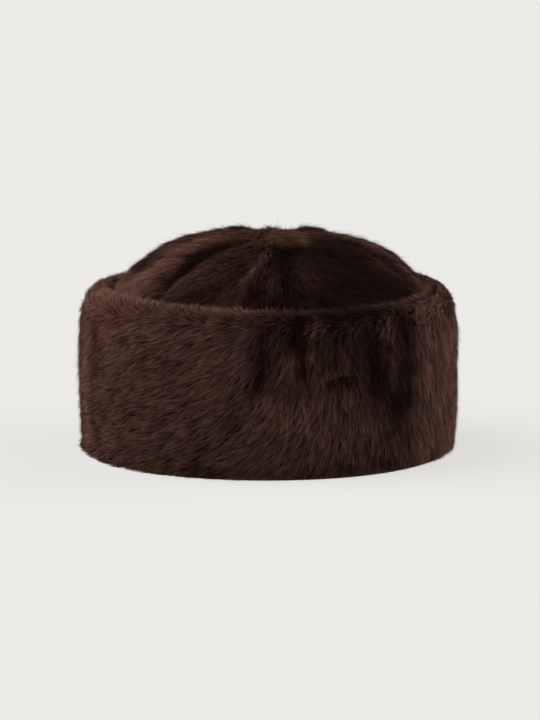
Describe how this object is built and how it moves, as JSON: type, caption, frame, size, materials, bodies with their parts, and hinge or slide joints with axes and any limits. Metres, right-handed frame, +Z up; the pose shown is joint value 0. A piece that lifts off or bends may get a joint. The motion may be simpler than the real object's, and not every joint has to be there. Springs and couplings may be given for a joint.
{
  "type": "fur cap with a turned-up cuff",
  "caption": "Dark brown fur cap: a wide turned-up cuff stands round a low domed crown of gathered gores, open below for the head.",
  "frame": {"origin": "centre of the hat's box in plan, on the plane that its rim rests on", "axes": "+X towards the wearer's left ear, -Y towards the brow, +Z up through the crown"},
  "size_m": [0.2304, 0.2427, 0.1354],
  "materials": {
    "cuff_fur": "short smooth dark brown fur, combed to one side",
    "crown_fur": "short smooth dark brown fur, gathered towards the top"
  },
  "bodies": {
    "root": {"cuff": "cuff_fur", "crown_gore_1": "crown_fur", "crown_gore_2": "crown_fur", "crown_gore_3": "crown_fur", "crown_gore_4": "crown_fur", "crown_gore_5": "crown_fur", "crown_gore_6": "crown_fur"}
  },
  "joints": []
}
